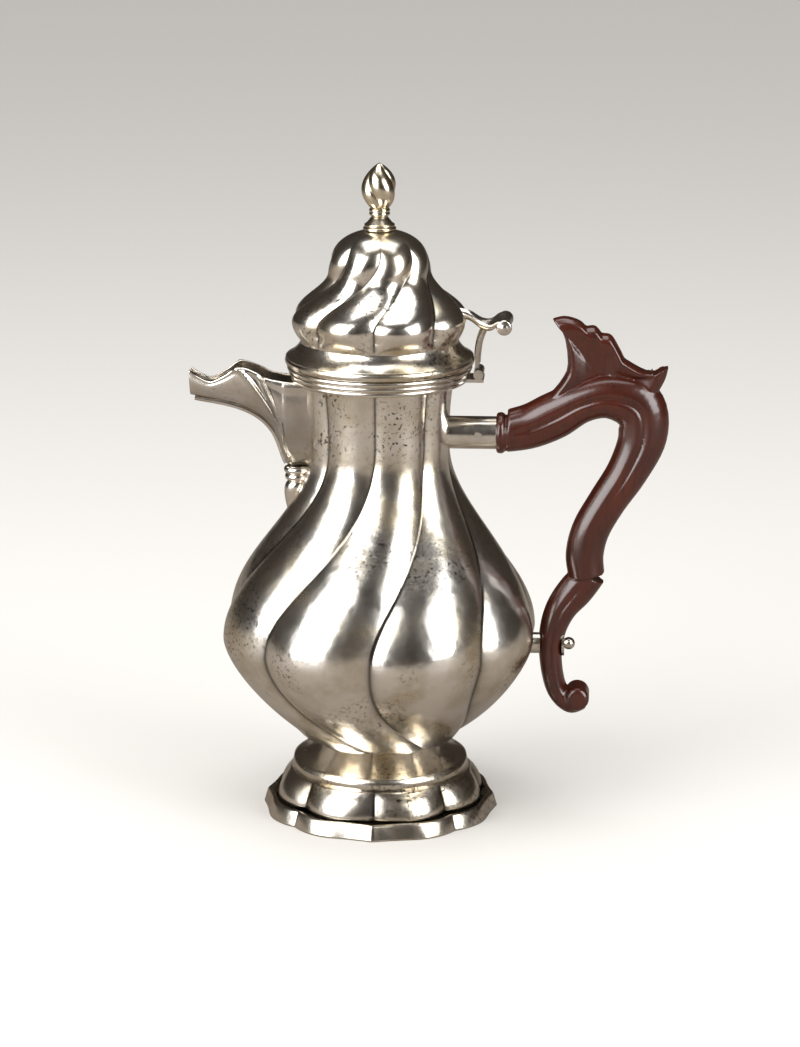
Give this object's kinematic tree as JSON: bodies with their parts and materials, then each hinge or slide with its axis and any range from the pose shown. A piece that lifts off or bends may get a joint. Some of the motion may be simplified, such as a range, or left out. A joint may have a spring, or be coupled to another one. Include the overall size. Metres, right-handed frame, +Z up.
{
  "type": "coffee pot",
  "caption": "Pear-shaped silver coffee pot with swirled lobes, beak spout, hinged domed lid with bud finial, shaped foot and carved wood scroll handle.",
  "frame": {"origin": "centre of the foot on the plane it stands on", "axes": "+Z up, handle towards +X, spout towards -X"},
  "size_m": [0.1806, 0.1178, 0.2502],
  "materials": {
    "body_silver": "polished aged silver",
    "finial_silver": "polished aged silver",
    "fitting_silver": "polished aged silver",
    "foot_silver": "polished aged silver",
    "handle_wood": "polished dark hardwood",
    "lid_silver": "polished aged silver",
    "moulding_silver": "polished aged silver",
    "spout_silver": "polished aged silver"
  },
  "bodies": {
    "pot": {"body_shell": "body_silver", "mouth_moulding": "moulding_silver", "foot_dome": "foot_silver", "foot_apron": "foot_silver", "foot_plinth": "foot_silver", "spout_shell": "spout_silver", "spout_rib": "spout_silver", "spout_collar": "spout_silver", "spout_drop": "spout_silver", "hinge_bracket": "fitting_silver", "hinge_pin": "fitting_silver", "handle_socket": "fitting_silver", "socket_rivet": "fitting_silver", "handle_wood": "handle_wood", "handle_seat": "fitting_silver", "handle_stud": "fitting_silver", "handle_washer": "fitting_silver", "handle_nut": "fitting_silver"},
    "lid": {"lid_dome": "lid_silver", "lid_flange": "lid_silver", "lid_cap": "lid_silver", "lid_rim_wire": "lid_silver", "lid_bezel": "fitting_silver", "lid_strut": "fitting_silver", "thumbpiece": "fitting_silver", "finial_base": "finial_silver", "finial_stem": "finial_silver", "finial_bud": "finial_silver", "finial_bolt": "finial_silver", "finial_nut": "finial_silver"}
  },
  "joints": [
    {"name": "lid_hinge", "type": "hinge", "parent": "pot", "child": "lid", "pos_m": [0.0373, 0, 0.1715], "axis": [0, 1, 0], "range_deg": [0, 70]}
  ]
}
